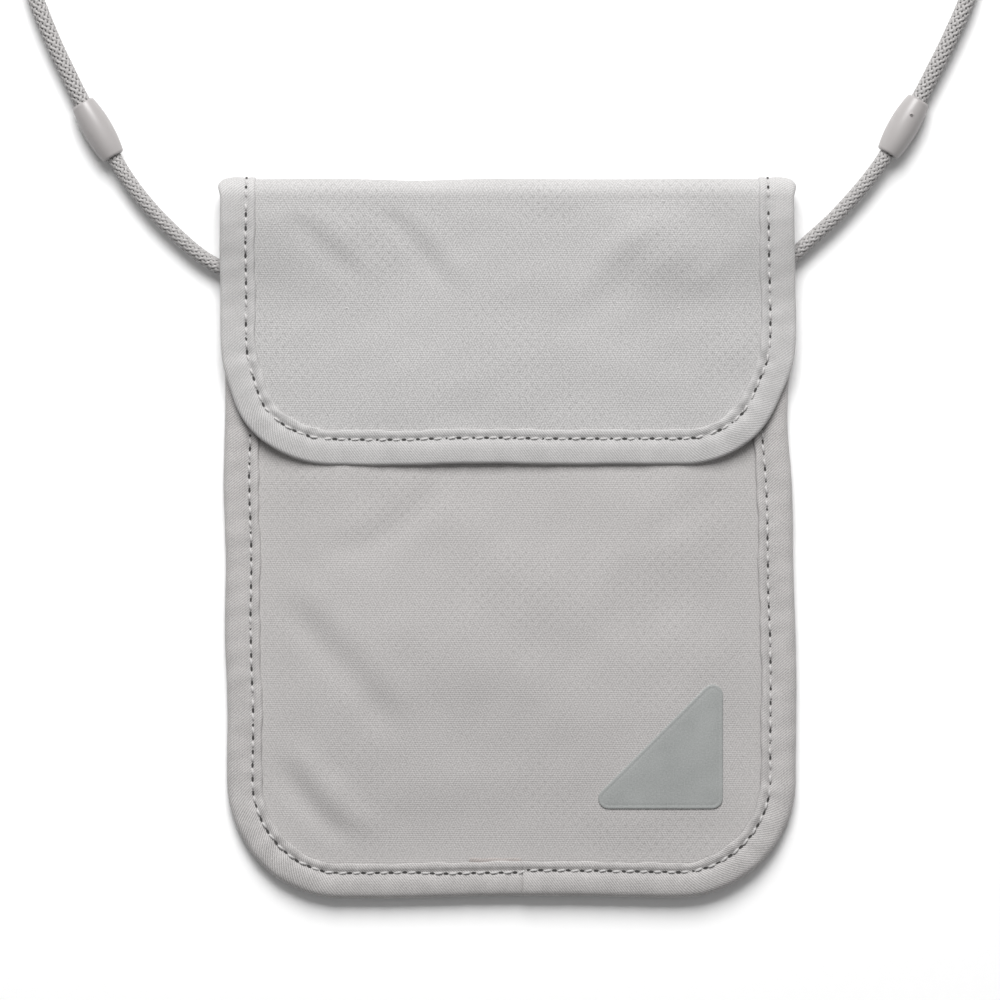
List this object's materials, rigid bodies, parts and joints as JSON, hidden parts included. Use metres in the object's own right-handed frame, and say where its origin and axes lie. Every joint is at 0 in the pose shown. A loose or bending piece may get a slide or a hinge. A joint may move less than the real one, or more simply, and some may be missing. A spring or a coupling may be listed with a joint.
{
  "type": "neck pouch wallet",
  "caption": "Flat fabric neck pouch with a fold-over flap, an open front pocket, a zipped rear pocket, taped edges and a braided neck cord with two barrel beads.",
  "frame": {"origin": "under the middle of the pouch, on the surface that it lies on", "axes": "+Y from the pouch's bottom edge to its top fold, +Z out of its front face, +X to its right as seen from the front"},
  "size_m": [0.2411, 0.2913, 0.0111],
  "materials": {
    "pouch_fabric": "matt",
    "lining_fabric": "satin",
    "edge_tape": "matt",
    "patch_rubber": "satin",
    "cord_braid": "matt",
    "bead_plastic": "satin",
    "zip_nylon": "satin",
    "zip_metal": "polished",
    "hook_and_loop": "matt"
  },
  "bodies": {
    "pouch": {"back_panel": "pouch_fabric", "back_lining": "lining_fabric", "middle_panel": "pouch_fabric", "zip_top_strip": "pouch_fabric", "zip_tape_upper": "edge_tape", "zip_tape_lower": "edge_tape", "zip_coil_upper": "zip_nylon", "zip_coil_lower": "zip_nylon", "zip_top_stop_upper": "zip_metal", "zip_top_stop_lower": "zip_metal", "zip_bottom_stop": "zip_metal", "front_panel": "pouch_fabric", "pocket_mouth_hem": "edge_tape", "loop_patch": "hook_and_loop", "corner_patch": "patch_rubber", "body_binding": "edge_tape", "flap_fold": "pouch_fabric", "cord_whipping_left": "cord_braid", "cord_whipping_right": "cord_braid", "neck_cord_left": "cord_braid", "neck_cord_right": "cord_braid", "cord_hank": "cord_braid", "hank_band": "edge_tape"},
    "flap": {"flap_outer": "pouch_fabric", "flap_lining": "lining_fabric", "flap_binding": "edge_tape", "hook_patch": "hook_and_loop"},
    "zip_slider": {"zip_slider": "zip_metal"},
    "zip_pull": {"zip_pull": "zip_metal"},
    "bead_left": {"bead_left": "bead_plastic"},
    "bead_right": {"bead_right": "bead_plastic"}
  },
  "joints": [
    {"name": "flap_hinge", "type": "hinge", "parent": "pouch", "child": "flap", "pos_m": [0, 0.08525, 0.0056], "axis": [-1, 0, 0], "range_deg": [0, 179], "deforming": ["flap_fold"]},
    {"name": "zip_slide", "type": "slide", "parent": "pouch", "child": "zip_slider", "axis": [-1, 0, 0], "range_m": [0, 0.099]},
    {"name": "pull_hinge", "type": "hinge", "parent": "zip_slider", "child": "zip_pull", "pos_m": [0.052, 0.075, 0.0048], "axis": [0, 1, 0], "range_deg": [0, 15]},
    {"name": "bead_left_slide", "type": "hinge", "parent": "pouch", "child": "bead_left", "pos_m": [0.095, 0.2167, 0.00375], "axis": [0, 0, -1], "range_deg": [-0.75, 4.5]},
    {"name": "bead_right_slide", "type": "hinge", "parent": "pouch", "child": "bead_right", "pos_m": [-0.1617, 0.2544, 0.00375], "axis": [0, 0, 1], "range_deg": [-0.57, 3.4]}
  ]
}
